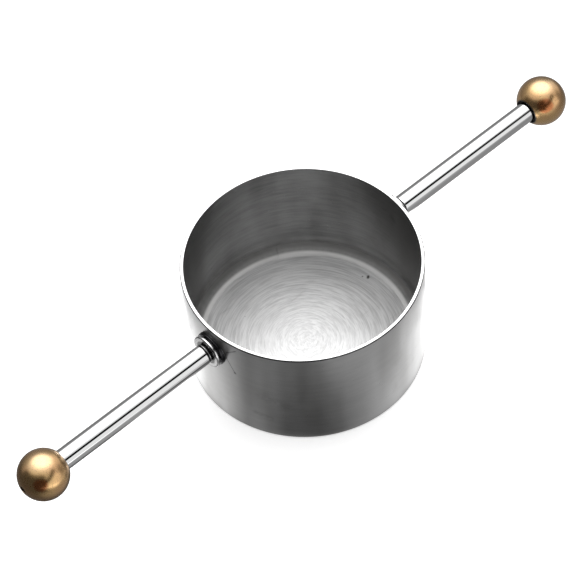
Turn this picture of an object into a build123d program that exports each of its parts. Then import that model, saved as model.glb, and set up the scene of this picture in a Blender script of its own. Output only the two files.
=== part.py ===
from build123d import *
import os

# A bar jigger: a straight-sided measuring cup carried between two ball-ended handles.
# Sizes are millimetres. The cup stands on z = 0 with its axis on Z, and the handles lie along X.

# Cup: a tube welded onto a flat disc of the same diameter
cup_outer_diameter = 53.5
cup_height = 29.2
wall_thickness = 0.8
rim_outer_radius = 0.22  # rounding of the rim's outer edge
rim_inner_radius = 0.12
base_thickness = 1.0
base_edge_radius = 0.9

# Soldered seam that fills the corner between wall and base on the inside
seam_width = 2.6  # on the floor
seam_height = 1.8  # on the wall
seam_hollow = 0.99  # 0 is a straight bevel, 1 the deepest dish that stays above the floor and off the wall
seam_lap_rise = 0.18  # extra height where the run's end laps over its start
seam_lap_start = 38.5  # degrees about Z, from +X
seam_lap_sweep = 26.0

# Handle line
handle_drop = 6.5  # from the rim down to the handles' axis
handle_length = 47.0  # from the outside of the cup to the centre of the ball

# Stud welded to the wall, with a flange whose back follows the cup
stud_flange_diameter = 8.2
stud_flange_thickness = 0.6  # over the wall's outermost line
stud_flange_edge_radius = 0.25
stud_diameter = 3.0
stud_length = 6.0  # beyond the flange

# Lock washer with teeth on the inside
lock_washer_diameter = 6.0
lock_washer_root_diameter = 4.8
lock_washer_thickness = 0.4
lock_washer_teeth = 8
lock_washer_slot_width = 0.7

# Collar, a polished washer that the rod pulls up against
collar_diameter = 8.0
collar_thickness = 0.65
collar_edge_radius = 0.25

# Rod
rod_diameter = 4.76
rod_neck_length = 0.4  # reduced diameter where the rod meets the collar
rod_land_length = 0.18  # full diameter between the neck and the groove
rod_groove_width = 0.4
rod_groove_depth = 0.3  # of the neck too
tapped_hole_runout = 0.6  # hole left beyond the stud's tip
spigot_diameter = 3.0

# Ball end
ball_diameter = 11.3
rod_seat_distance = 2.5  # from the ball's centre back to the seat of the rod's shoulder
recess_gap = 0.52  # open ring between the rod and the recess's wall
recess_depth = 0.55  # below the ball's surface at the recess's own diameter

# Set screw that locks the ball from its outer pole
screw_diameter = 1.6
screw_length = 4.0
screw_below_surface = 0.3
screw_socket_width = 0.7  # across the flats
screw_socket_depth = 0.8

# Clearances, all on the radius
washer_clearance = 0.1
thread_clearance = 0.02
rod_seat_clearance = 0.05

# Places that follow from the sizes
cup_radius = cup_outer_diameter / 2
bore_radius = cup_radius - wall_thickness
handle_height = cup_height - handle_drop
lock_washer_start = stud_flange_thickness
collar_start = lock_washer_start + lock_washer_thickness
rod_start = collar_start + collar_thickness
stud_tip = stud_flange_thickness + stud_length
rod_shoulder = handle_length - rod_seat_distance
ball_radius = ball_diameter / 2
screw_outer_end = handle_length + ball_radius - screw_below_surface
spigot_end = screw_outer_end - screw_length
stud_hole_radius = stud_diameter / 2 + washer_clearance


def turned(outline):
    # Turns a closed outline of (distance along the handle, radius) points about the handle's axis.
    section = make_face(Polyline(*outline, close=True))
    return revolve(section, axis=Axis.X)


def disc(start, thickness, outer_radius, inner_radius):
    # A flat ring on the handle's axis, its near face at the given distance from the wall.
    end = start + thickness
    return turned(
        [
            (start, inner_radius),
            (start, outer_radius),
            (end, outer_radius),
            (end, inner_radius),
        ]
    )


def outer_edges(piece, radius):
    # The circular edges at the given radius about the handle's axis.
    circles = piece.edges().filter_by(GeomType.CIRCLE)
    return circles.filter_by(lambda edge: abs(edge.radius - radius) < 1e-6)


def rim_edge(tube, radius):
    # The rim's circular edge of the given radius about the cup's axis.
    circles = tube.edges().filter_by(GeomType.CIRCLE).filter_by(lambda edge: abs(edge.radius - radius) < 1e-6)
    return circles.sort_by(Axis.Z)[-1]


def cup_wall():
    outside = Cylinder(cup_radius, cup_height - base_thickness, align=(Align.CENTER, Align.CENTER, Align.MIN))
    inside = Cylinder(bore_radius, cup_height, align=(Align.CENTER, Align.CENTER, Align.MIN))
    tube = Pos(0, 0, base_thickness) * (outside - inside)
    tube = fillet(rim_edge(tube, bore_radius), min(rim_inner_radius, 0.4 * wall_thickness))
    return fillet(rim_edge(tube, cup_radius), min(rim_outer_radius, 0.4 * wall_thickness))


def cup_base():
    plate = Cylinder(cup_radius, base_thickness, align=(Align.CENTER, Align.CENTER, Align.MIN))
    bottom_edge = plate.edges().filter_by(GeomType.CIRCLE).group_by(Axis.Z)[0]
    return fillet(bottom_edge, min(base_edge_radius, 0.9 * base_thickness))


def seam_dish():
    # How far the middle of the seam's face lies below the straight line from toe to top.
    slant = (seam_width**2 + seam_height**2) ** 0.5
    floor_limit = (slant - seam_width) / seam_height
    wall_limit = (slant - seam_height) / seam_width
    return seam_hollow * slant / 2 * min(floor_limit, wall_limit)


def seam_run(rise, sweep):
    # A corner bead with a dished face, swept about the cup's axis from +X.
    height = seam_height + rise
    slant = (seam_width**2 + height**2) ** 0.5
    corner = (bore_radius, base_thickness)
    toe = (bore_radius - seam_width, base_thickness)
    top = (bore_radius, base_thickness + height)
    outward = bore_radius - seam_width / 2 + seam_dish() * height / slant
    upward = base_thickness + height / 2 - seam_dish() * seam_width / slant
    middle = (outward, upward)
    outline = Polyline(toe, corner, top) + ThreePointArc(top, middle, toe)
    return revolve(Plane.XZ * make_face(outline), axis=Axis.Z, revolution_arc=sweep)


def floor_seam():
    lap = Rot(0, 0, seam_lap_start) * seam_run(seam_lap_rise, seam_lap_sweep)
    return seam_run(0, 360) + lap


def wall_stud():
    flange_radius = stud_flange_diameter / 2
    blank = turned(
        [
            (-flange_radius, 0),
            (-flange_radius, flange_radius),
            (stud_flange_thickness, flange_radius),
            (stud_flange_thickness, stud_diameter / 2),
            (stud_tip, stud_diameter / 2),
            (stud_tip, 0),
        ]
    )
    front_edge = outer_edges(blank, flange_radius).sort_by(Axis.X)[-1]
    rounded = fillet(front_edge, min(stud_flange_edge_radius, 0.45 * stud_flange_thickness))
    cup_body = Pos(-cup_radius, 0, 0) * Cylinder(cup_radius, 3 * stud_flange_diameter)
    return rounded - cup_body


def lock_washer():
    root_radius = lock_washer_root_diameter / 2
    ring = disc(lock_washer_start, lock_washer_thickness, lock_washer_diameter / 2, stud_hole_radius)
    slot = Box(3 * lock_washer_thickness, lock_washer_slot_width, root_radius)
    slot = Pos(lock_washer_start + lock_washer_thickness / 2, 0, root_radius / 2) * slot
    for tooth in range(lock_washer_teeth):
        ring -= Rot(tooth * 360 / lock_washer_teeth, 0, 0) * slot
    return ring


def collar():
    plain = disc(collar_start, collar_thickness, collar_diameter / 2, stud_hole_radius)
    edges = outer_edges(plain, collar_diameter / 2)
    return fillet(edges, min(collar_edge_radius, 0.45 * collar_thickness))


def handle_rod():
    rod_radius = rod_diameter / 2
    neck_end = rod_start + rod_neck_length
    groove_start = neck_end + rod_land_length
    groove_end = groove_start + rod_groove_width
    groove_radius = rod_radius - rod_groove_depth
    tapped_radius = stud_diameter / 2 + thread_clearance
    hole_end = stud_tip + tapped_hole_runout
    return turned(
        [
            (rod_start, tapped_radius),
            (rod_start, groove_radius),
            (neck_end, groove_radius),
            (neck_end, rod_radius),
            (groove_start, rod_radius),
            (groove_start, groove_radius),
            (groove_end, groove_radius),
            (groove_end, rod_radius),
            (rod_shoulder, rod_radius),
            (rod_shoulder, spigot_diameter / 2),
            (spigot_end, spigot_diameter / 2),
            (spigot_end, 0),
            (hole_end, 0),
            (hole_end, tapped_radius),
        ]
    )


def ball_end():
    recess_radius = rod_diameter / 2 + recess_gap
    seat_radius = rod_diameter / 2 + rod_seat_clearance
    spigot_hole_radius = spigot_diameter / 2 + thread_clearance
    screw_hole_radius = screw_diameter / 2 + thread_clearance
    inner_pole = handle_length - ball_radius
    outer_pole = handle_length + ball_radius
    mouth = handle_length - (ball_radius**2 - recess_radius**2) ** 0.5
    recess_floor = mouth + recess_depth
    stepped_bore = turned(
        [
            (inner_pole, 0),
            (inner_pole, recess_radius),
            (recess_floor, recess_radius),
            (recess_floor, seat_radius),
            (rod_shoulder, seat_radius),
            (rod_shoulder, spigot_hole_radius),
            (spigot_end, spigot_hole_radius),
            (spigot_end, screw_hole_radius),
            (outer_pole, screw_hole_radius),
            (outer_pole, 0),
        ]
    )
    return Pos(handle_length, 0, 0) * Sphere(ball_radius) - stepped_bore


def ball_screw():
    body = turned(
        [
            (spigot_end, 0),
            (spigot_end, screw_diameter / 2),
            (screw_outer_end, screw_diameter / 2),
            (screw_outer_end, 0),
        ]
    )
    hexagon = RegularPolygon(screw_socket_width / 2, 6, major_radius=False)
    socket = Pos(screw_outer_end, 0, 0) * Rot(0, -90, 0) * extrude(hexagon, screw_socket_depth)
    return body - socket


# Each handle piece is made once, reaching out along +X from the wall, then placed on both sides.
right_side = Pos(cup_radius, 0, handle_height)
left_side = Pos(-cup_radius, 0, handle_height) * Rot(0, 0, 180)
handle_pieces = {
    "wall_stud": wall_stud(),
    "lock_washer": lock_washer(),
    "collar": collar(),
    "handle_rod": handle_rod(),
    "ball_end": ball_end(),
    "ball_screw": ball_screw(),
}

nodes = {
    "cup_wall": cup_wall(),
    "cup_base": cup_base(),
    "floor_seam": floor_seam(),
}
for piece_name, piece in handle_pieces.items():
    nodes["left_" + piece_name] = left_side * piece
    nodes["right_" + piece_name] = right_side * piece

os.makedirs("parts", exist_ok=True)
for node_name, shape in nodes.items():
    export_step(shape, "parts/" + node_name + ".step")
    print(node_name, round(shape.volume, 2), "mm3")
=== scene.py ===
import math

import bpy
import numpy as np
from mathutils import Matrix, Vector


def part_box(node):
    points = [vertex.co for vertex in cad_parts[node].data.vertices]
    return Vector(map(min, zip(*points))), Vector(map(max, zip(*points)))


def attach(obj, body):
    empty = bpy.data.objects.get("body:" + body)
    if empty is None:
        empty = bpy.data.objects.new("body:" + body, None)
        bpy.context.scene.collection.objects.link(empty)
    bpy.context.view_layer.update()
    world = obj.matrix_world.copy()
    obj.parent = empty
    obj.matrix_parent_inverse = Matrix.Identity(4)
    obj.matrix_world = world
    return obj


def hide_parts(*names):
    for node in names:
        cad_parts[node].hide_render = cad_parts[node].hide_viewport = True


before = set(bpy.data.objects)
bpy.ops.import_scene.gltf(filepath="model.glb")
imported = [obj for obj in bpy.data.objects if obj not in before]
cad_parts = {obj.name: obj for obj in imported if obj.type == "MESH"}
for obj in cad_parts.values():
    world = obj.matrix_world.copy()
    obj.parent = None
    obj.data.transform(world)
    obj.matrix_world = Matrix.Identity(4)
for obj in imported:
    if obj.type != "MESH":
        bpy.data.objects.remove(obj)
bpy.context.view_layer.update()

millimetre = 0.001
wallLow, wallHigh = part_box("cup_wall")
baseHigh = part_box("cup_base")[1]
rodLow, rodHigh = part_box("right_handle_rod")
ballLow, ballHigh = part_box("right_ball_end")
collarLow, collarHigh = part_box("right_collar")
cupRadius = wallHigh.x
rimHeight = wallHigh.z
handleHeight = (collarLow.z + collarHigh.z) / 2
print("frame loaded:", len(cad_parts), "nodes")

# Camera.
view = {
    "azimuth": -38.72,      # degrees round the cup, 0 looks along +Y
    "elevation": 52.99,
    "roll": -4.245,
    "distance": 0.6234,     # metres from the centre of the rim
    "right": -0.003392,     # sideways and upward offsets of the camera
    "up": -0.005468,
    "lens": 180.0,
}

azimuth = math.radians(view["azimuth"])
elevation = math.radians(view["elevation"])
roll = math.radians(view["roll"])
backward = Vector((-math.sin(azimuth), math.cos(azimuth), 0.0))   # away from the viewer, along the floor
rightward = Vector((math.cos(azimuth), math.sin(azimuth), 0.0))
upward = Vector((0.0, 0.0, 1.0))


def makeCamera():
    forward = backward * math.cos(elevation) - upward * math.sin(elevation)
    upright = rightward.cross(forward)
    right = math.cos(roll) * rightward + math.sin(roll) * upright
    up = math.cos(roll) * upright - math.sin(roll) * rightward
    rimCentre = Vector((0.0, 0.0, rimHeight))
    place = rimCentre - forward * view["distance"] + right * view["right"] + up * view["up"]
    data = bpy.data.cameras.new("camera")
    data.lens = view["lens"]
    data.sensor_width = 36.0
    data.clip_start = 0.01
    data.clip_end = 20.0
    camera = bpy.data.objects.new("camera", data)
    bpy.context.scene.collection.objects.link(camera)
    turn = Matrix((right, up, -forward)).transposed()
    camera.matrix_world = Matrix.Translation(place) @ turn.to_4x4()
    bpy.context.scene.camera = camera


makeCamera()
print("camera placed")


# Small helpers for node trees.
def addNode(tree, kind, **settings):
    made = tree.nodes.new(kind)
    for key, value in settings.items():
        setattr(made, key, value)
    return made


def feed(tree, socket, value):
    # A socket is linked, anything else becomes the socket's own value.
    if isinstance(value, bpy.types.NodeSocket):
        tree.links.new(value, socket)
    else:
        socket.default_value = value


def calc(tree, operation, first, second=None, third=None, clamp=False):
    made = addNode(tree, "ShaderNodeMath", operation=operation, use_clamp=clamp)
    for socket, value in zip(made.inputs, (first, second, third)):
        if value is not None:
            feed(tree, socket, value)
    return made.outputs[0]


def vectorCalc(tree, operation, first, second=None, scale=None):
    made = addNode(tree, "ShaderNodeVectorMath", operation=operation)
    feed(tree, made.inputs[0], first)
    if second is not None:
        feed(tree, made.inputs[1], second)
    if scale is not None:
        feed(tree, made.inputs["Scale"], scale)
    name = "Value" if operation in ("DOT_PRODUCT", "LENGTH", "DISTANCE") else "Vector"
    return made.outputs[name]


def ramp(tree, value, fromLow, fromHigh, toLow=0.0, toHigh=1.0):
    # A smooth step from one level to another.
    made = addNode(tree, "ShaderNodeMapRange", interpolation_type="SMOOTHSTEP")
    names = ("Value", "From Min", "From Max", "To Min", "To Max")
    for name, level in zip(names, (value, fromLow, fromHigh, toLow, toHigh)):
        feed(tree, made.inputs[name], level)
    return made.outputs["Result"]


def blendColor(tree, factor, first, second, mode="MIX"):
    made = addNode(tree, "ShaderNodeMix", data_type="RGBA", blend_type=mode)
    for index, value in ((0, factor), (6, first), (7, second)):
        feed(tree, made.inputs[index], value)
    return made.outputs[2]


def noise(tree, position, scale, detail=2.0, roughness=0.5, dimensions="3D", w=None):
    made = addNode(tree, "ShaderNodeTexNoise", noise_dimensions=dimensions)
    feed(tree, made.inputs["Vector"], position)
    feed(tree, made.inputs["Scale"], scale)
    feed(tree, made.inputs["Detail"], detail)
    feed(tree, made.inputs["Roughness"], roughness)
    if w is not None:
        feed(tree, made.inputs["W"], w)
    return made.outputs[0]


def newGroup(name, inputs, outputs):
    group = bpy.data.node_groups.new(name, "ShaderNodeTree")
    for label, kind, value in inputs:
        socket = group.interface.new_socket(label, in_out="INPUT", socket_type=kind)
        if value is not None:
            socket.default_value = value
    for label, kind in outputs:
        group.interface.new_socket(label, in_out="OUTPUT", socket_type=kind)
    start = group.nodes.new("NodeGroupInput")
    end = group.nodes.new("NodeGroupOutput")
    return group, start.outputs, end.inputs


def useGroup(tree, group, **values):
    # Sockets are named by their label with the spaces taken out.
    made = addNode(tree, "ShaderNodeGroup", node_tree=group)
    for socket in made.inputs:
        if socket.name.replace(" ", "") in values:
            feed(tree, socket, values[socket.name.replace(" ", "")])
    return made.outputs


numberSocket = "NodeSocketFloat"
vectorSocket = "NodeSocketVector"


# Effects shared by the finishes.
def makeTurnedGrain():
    # Streaks that run round the Z axis: noise read at (distance from the axis, height, direction
    # round the axis), fine across the streak and slow along it.
    group, given, result = newGroup(
        "turnedGrain",
        [("Position", vectorSocket, None), ("Fineness", numberSocket, 3000.0),
         ("Breaks", numberSocket, 3.0), ("Seed", numberSocket, 0.0)],
        [("Streaks", numberSocket)],
    )
    parts = addNode(group, "ShaderNodeSeparateXYZ")
    feed(group, parts.inputs[0], given["Position"])
    flat = addNode(group, "ShaderNodeCombineXYZ")
    feed(group, flat.inputs[0], parts.outputs[0])
    feed(group, flat.inputs[1], parts.outputs[1])
    distance = vectorCalc(group, "LENGTH", flat.outputs[0])
    direction = addNode(group, "ShaderNodeSeparateXYZ")
    feed(group, direction.inputs[0], vectorCalc(group, "NORMALIZE", flat.outputs[0]))
    across = addNode(group, "ShaderNodeCombineXYZ")
    feed(group, across.inputs[0], calc(group, "MULTIPLY", distance, given["Fineness"]))
    height = calc(group, "MULTIPLY_ADD", parts.outputs[2], given["Fineness"], given["Seed"])
    feed(group, across.inputs[1], height)
    feed(group, across.inputs[2], calc(group, "MULTIPLY", direction.outputs[0], given["Breaks"]))
    along = calc(group, "MULTIPLY", direction.outputs[1], given["Breaks"])
    streaks = noise(group, across.outputs[0], 1.0, 3.0, 0.6, "4D", along)
    feed(group, result["Streaks"], streaks)
    return group


def makeSmudges():
    # Soft patches where the surface has been handled or has dulled.
    group, given, result = newGroup(
        "smudges",
        [("Position", vectorSocket, None), ("Patch Size", numberSocket, 120.0),
         ("Coverage", numberSocket, 0.5)],
        [("Mask", numberSocket)],
    )
    wide = noise(group, given["Position"], given["Patch Size"], 3.0, 0.55)
    finer = noise(group, given["Position"], calc(group, "MULTIPLY", given["Patch Size"], 7.0), 2.0, 0.6)
    mixed = calc(group, "MULTIPLY_ADD", calc(group, "SUBTRACT", finer, 0.5), 0.35, wide)
    low = calc(group, "SUBTRACT", 0.75, calc(group, "MULTIPLY", given["Coverage"], 0.5))
    feed(group, result["Mask"], ramp(group, mixed, low, calc(group, "ADD", low, 0.22)))
    return group


def makeHairlines():
    # Fine stray scratches: noise drawn out long in one direction and cut off high.
    group, given, result = newGroup(
        "hairlines",
        [("Position", vectorSocket, None), ("Turn", vectorSocket, (0.4, 0.2, 0.9)),
         ("Amount", numberSocket, 0.5)],
        [("Mask", numberSocket)],
    )
    turned = addNode(group, "ShaderNodeMapping")
    feed(group, turned.inputs["Vector"], given["Position"])
    feed(group, turned.inputs["Rotation"], given["Turn"])
    turned.inputs["Scale"].default_value = (90.0, 5200.0, 5200.0)
    lines = noise(group, turned.outputs[0], 1.0, 1.0, 0.5)
    cut = calc(group, "SUBTRACT", 0.80, calc(group, "MULTIPLY", given["Amount"], 0.12))
    feed(group, result["Mask"], ramp(group, lines, cut, calc(group, "ADD", cut, 0.05)))
    return group


def makeEdgeWear():
    # Marks where the surface turns sharply: how far the normal of a rounded copy leans from the true one.
    group, given, result = newGroup(
        "edgeWear",
        [("Position", vectorSocket, None), ("Radius", numberSocket, 0.0002),
         ("Breakup", numberSocket, 0.4)],
        [("Mask", numberSocket)],
    )
    rounded = addNode(group, "ShaderNodeBevel", samples=4)
    feed(group, rounded.inputs["Radius"], given["Radius"])
    facing = addNode(group, "ShaderNodeNewGeometry")
    lean = vectorCalc(group, "DOT_PRODUCT", rounded.outputs[0], facing.outputs["Normal"])
    worn = ramp(group, calc(group, "SUBTRACT", 1.0, lean), 0.01, 0.16)
    chips = noise(group, given["Position"], 1800.0, 3.0, 0.6)
    kept = calc(group, "SUBTRACT", 1.0, calc(group, "MULTIPLY", chips, given["Breakup"]))
    feed(group, result["Mask"], calc(group, "MULTIPLY", worn, kept, clamp=True))
    return group


def makeSpecks():
    # Tiny dark pores, some cells of a fine Voronoi pattern picked out by their own random value.
    group, given, result = newGroup(
        "specks",
        [("Position", vectorSocket, None), ("Fineness", numberSocket, 5000.0),
         ("Share", numberSocket, 0.4)],
        [("Mask", numberSocket)],
    )
    cells = addNode(group, "ShaderNodeTexVoronoi", voronoi_dimensions="3D")
    feed(group, cells.inputs["Vector"], given["Position"])
    feed(group, cells.inputs["Scale"], given["Fineness"])
    dots = ramp(group, cells.outputs["Distance"], 0.15, 0.5, 1.0, 0.0)
    tint = addNode(group, "ShaderNodeSeparateColor")
    feed(group, tint.inputs[0], cells.outputs["Color"])
    picked = calc(group, "LESS_THAN", tint.outputs[0], given["Share"])
    feed(group, result["Mask"], calc(group, "MULTIPLY", dots, picked))
    return group


def makeLineMark():
    # One scratch: distance to the stretch between two points, compared with the scratch's width.
    group, given, result = newGroup(
        "lineMark",
        [("Position", vectorSocket, None), ("Start", vectorSocket, None), ("End", vectorSocket, None),
         ("Width", numberSocket, 0.0001)],
        [("Mask", numberSocket)],
    )
    run = vectorCalc(group, "SUBTRACT", given["End"], given["Start"])
    offset = vectorCalc(group, "SUBTRACT", given["Position"], given["Start"])
    length = vectorCalc(group, "DOT_PRODUCT", run, run)
    share = calc(group, "DIVIDE", vectorCalc(group, "DOT_PRODUCT", offset, run), length, clamp=True)
    nearest = vectorCalc(group, "SCALE", run, scale=share)
    away = vectorCalc(group, "DISTANCE", offset, nearest)
    feed(group, result["Mask"], ramp(group, away, 0.0, given["Width"], 1.0, 0.0))
    return group


turnedGrain = makeTurnedGrain()
smudges = makeSmudges()
hairlines = makeHairlines()
edgeWear = makeEdgeWear()
specks = makeSpecks()
lineMark = makeLineMark()
print("effect groups built")


# Finishes.
def newFinish(name, metallic, roughness, anisotropic=0.0):
    material = bpy.data.materials.new(name)
    material.use_nodes = True
    tree = material.node_tree
    shader = tree.nodes["Principled BSDF"]
    shader.inputs["Metallic"].default_value = metallic
    shader.inputs["Roughness"].default_value = roughness
    shader.inputs["Anisotropic"].default_value = anisotropic
    place = addNode(tree, "ShaderNodeTexCoord").outputs["Object"]
    return material, tree, shader, place


def bump(tree, shader, height, strength, distance):
    made = addNode(tree, "ShaderNodeBump")
    made.inputs["Strength"].default_value = strength
    made.inputs["Distance"].default_value = distance
    feed(tree, made.inputs["Height"], height)
    feed(tree, shader.inputs["Normal"], made.outputs[0])


def split(tree, vector):
    # The x, y and z sockets of a vector.
    made = addNode(tree, "ShaderNodeSeparateXYZ")
    feed(tree, made.inputs[0], vector)
    return made.outputs[0], made.outputs[1], made.outputs[2]


def joined(tree, x=0.0, y=0.0, z=0.0):
    made = addNode(tree, "ShaderNodeCombineXYZ")
    for socket, value in zip(made.inputs, (x, y, z)):
        feed(tree, socket, value)
    return made.outputs[0]


def fromHandleAxis(tree, y, z):
    # The point's offset from the handles' axis, and how long it is.
    spoke = joined(tree, y=y, z=calc(tree, "SUBTRACT", z, handleHeight))
    return spoke, vectorCalc(tree, "LENGTH", spoke)


def aimGrain(tree, shader):
    # The brushing runs round the cup, so reflections are drawn out across it.
    aim = addNode(tree, "ShaderNodeTangent", direction_type="RADIAL", axis="Z")
    feed(tree, shader.inputs["Tangent"], aim.outputs[0])
    shader.inputs["Anisotropic Rotation"].default_value = 0.25


def marks(tree, place, spots):
    # Adds up scratches and spots given in millimetres as (start, end, width, strength).
    total = 0.0
    for start, end, width, strength in spots:
        corners = [tuple(millimetre * part for part in point) for point in (start, end)]
        reach = width * millimetre
        mask = useGroup(tree, lineMark, Position=place, Start=corners[0], End=corners[1], Width=reach)
        total = calc(tree, "MULTIPLY_ADD", mask["Mask"], strength, total)
    return calc(tree, "MINIMUM", total, 1.0)


wallFinish = {
    "steel": (0.52, 0.52, 0.52, 1.0),
    "steelDark": (0.40, 0.40, 0.40, 1.0),
    "inside": (0.71, 0.71, 0.71, 1.0),      # painted shade: multiplies the colour inside the cup, darkening it
    "insideLow": (1.55, 1.55, 1.55, 1.0),   # painted light: the same, beside the seam, where it brightens the wall
    "lowEnds": (3.3 * millimetre, 5.7 * millimetre),
    "rim": (0.86, 0.86, 0.86, 1.0),
    "dull": (0.33, 0.32, 0.31, 1.0),
    "calmOutside": 0.35,                    # how much of the grain's contrast is left on the outside
    "scratch": (0.10, 0.10, 0.10, 1.0),
    # dark colour of the heat marks, also used for painted shade up the inner wall's sides
    "heat": (0.095, 0.092, 0.088, 1.0),
    "roughness": 0.32,
    "rimRoughness": 0.13,
    "brow": (0.05, 0.05, 0.05, 1.0),        # painted dark reflection: the dark line along the rim's outer edge
    "browDepth": (0.42 * millimetre, 0.26 * millimetre),
    # start, end, width and strength
    "scratches": (
        ((-26.37, -4.48, 25.22), (-25.79, -7.11, 27.67), 0.22, 1.0),
        ((-26.40, -4.34, 23.44), (-25.97, -6.40, 19.16), 0.22, 1.0),
        ((-25.97, -6.40, 19.16), (-25.95, -6.42, 19.10), 0.55, 1.0),
        ((10.20, -24.70, 12.00), (13.10, -23.30, 11.20), 0.14, 0.4),
        ((-3.10, 26.55, 17.50), (2.40, 26.60, 14.90), 0.14, 0.5),
    ),
    "smudges": (
        ((-24.50, -10.70, 7.30), (-23.00, -13.60, 6.40), 1.30, 0.35),
        ((-23.70, -12.30, 14.70), (-20.90, -16.60, 12.00), 2.60, 0.22),
        ((20.00, 17.70, 9.00), (16.00, 21.40, 7.00), 2.00, 0.25),
    ),
    # painted shade: broad dark bands up the inner wall's sides
    "heatTint": (
        ((25.95, 0.00, 15.00), (25.95, 0.00, 28.00), 17.0, 0.62),
        ((-25.95, 0.00, 15.00), (-25.95, 0.00, 28.00), 17.0, 0.62),
        ((23.70, -10.40, 8.00), (23.70, -10.40, 28.00), 13.0, 0.55),
        ((-16.50, 20.00, 7.00), (-16.50, 20.00, 28.00), 13.0, 0.55),
    ),
    "heatMarks": (
        ((25.95, -1.00, 22.40), (25.93, -1.30, 22.20), 1.50, 0.75),
        ((25.95, 0.60, 23.60), (25.93, 1.60, 23.10), 0.90, 0.45),
        ((-25.95, 0.70, 22.90), (-25.93, 1.20, 22.60), 1.50, 0.75),
    ),
}


def makeWallFinish():
    material, tree, shader, place = newFinish("brushedWall", 1.0, 0.35, 0.55)
    aimGrain(tree, shader)
    coarse = useGroup(tree, turnedGrain, Position=place, Fineness=1300.0, Breaks=3.5)["Streaks"]
    fine = useGroup(tree, turnedGrain, Position=place, Fineness=6000.0, Breaks=9.0, Seed=17.0)["Streaks"]
    dull = useGroup(tree, smudges, Position=place, PatchSize=90.0, Coverage=0.35)["Mask"]
    stray = useGroup(tree, hairlines, Position=place, Amount=0.45)["Mask"]
    worn = useGroup(tree, edgeWear, Position=place, Radius=0.00012, Breakup=0.3)["Mask"]
    grain = calc(tree, "MULTIPLY_ADD", coarse, 0.6, calc(tree, "MULTIPLY", fine, 0.4))
    height = split(tree, place)[2]
    flat = vectorCalc(tree, "LENGTH", vectorCalc(tree, "MULTIPLY", place, (1.0, 1.0, 0.0)))
    outside = ramp(tree, flat, cupRadius - 0.6 * millimetre, cupRadius - 0.3 * millimetre)
    inside = calc(tree, "SUBTRACT", 1.0, outside)
    calm = wallFinish["calmOutside"]
    contrast = calc(tree, "MULTIPLY_ADD", inside, 1.0 - calm, calm)
    shade = calc(tree, "SUBTRACT", ramp(tree, grain, 0.36, 0.64), 0.5)
    shade = calc(tree, "MULTIPLY_ADD", shade, contrast, 0.5)
    color = blendColor(tree, shade, wallFinish["steelDark"], wallFinish["steel"])
    patch = noise(tree, vectorCalc(tree, "MULTIPLY", place, (90.0, 90.0, 22.0)), 1.0, 2.0, 0.5)
    patch = ramp(tree, patch, 0.40, 0.66, 0.0, 0.45)
    color = blendColor(tree, patch, color, wallFinish["dull"], "MULTIPLY")
    color = blendColor(tree, calc(tree, "MULTIPLY", dull, 0.25), color, wallFinish["dull"])
    # Painted shade on the inner wall, giving way to painted light just above the seam.
    low = ramp(tree, height, *wallFinish["lowEnds"], 1.0, 0.0)
    paintedInsideShade = blendColor(tree, low, wallFinish["inside"], wallFinish["insideLow"])
    color = blendColor(tree, inside, color, paintedInsideShade, "MULTIPLY")
    # Painted shade: the inner wall darkened in broad bands up its sides.
    tint = calc(tree, "MULTIPLY", marks(tree, place, wallFinish["heatTint"]), inside)
    color = blendColor(tree, tint, color, wallFinish["heat"])
    cloud = noise(tree, place, 700.0, 4.0, 0.7)
    soft = marks(tree, place, wallFinish["smudges"])
    soft = calc(tree, "MULTIPLY", soft, ramp(tree, cloud, 0.35, 0.6))
    color = blendColor(tree, soft, color, wallFinish["dull"], "MULTIPLY")
    burnt = marks(tree, place, wallFinish["heatMarks"])
    burnt = calc(tree, "MULTIPLY", burnt, ramp(tree, cloud, 0.3, 0.55))
    color = blendColor(tree, burnt, color, wallFinish["heat"])
    cut = calc(tree, "MULTIPLY", marks(tree, place, wallFinish["scratches"]), outside)
    color = blendColor(tree, cut, color, wallFinish["scratch"])
    rim = ramp(tree, height, rimHeight - 0.10 * millimetre, rimHeight - 0.03 * millimetre)
    color = blendColor(tree, rim, color, wallFinish["rim"])
    # Painted dark reflection along the rim's outer edge.
    browLow, browHigh = (rimHeight - depth for depth in wallFinish["browDepth"])
    brow = ramp(tree, flat, cupRadius - 0.20 * millimetre, cupRadius - 0.12 * millimetre)
    brow = calc(tree, "MULTIPLY", brow, outside)
    brow = calc(tree, "MULTIPLY", brow, ramp(tree, height, browLow, browHigh))
    brow = calc(tree, "MULTIPLY", brow, ramp(tree, cloud, 0.25, 0.5, 0.55, 1.0))
    color = blendColor(tree, brow, color, wallFinish["brow"])
    rough = calc(tree, "MULTIPLY_ADD", grain, 0.16, wallFinish["roughness"] - 0.08)
    rough = calc(tree, "MULTIPLY_ADD", dull, 0.06, rough)
    rough = calc(tree, "MULTIPLY_ADD", stray, -0.1, rough)
    rough = calc(tree, "MULTIPLY_ADD", worn, -0.1, rough)
    mixed = addNode(tree, "ShaderNodeMix", data_type="FLOAT")
    feed(tree, mixed.inputs[0], rim)
    feed(tree, mixed.inputs[2], rough)
    feed(tree, mixed.inputs[3], wallFinish["rimRoughness"])
    feed(tree, shader.inputs["Roughness"], mixed.outputs[0])
    feed(tree, shader.inputs["Base Color"], color)
    relief = calc(tree, "SUBTRACT", grain, calc(tree, "MULTIPLY_ADD", cut, 2.0, stray))
    bump(tree, shader, relief, 0.2, 0.00003)
    return material


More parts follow.
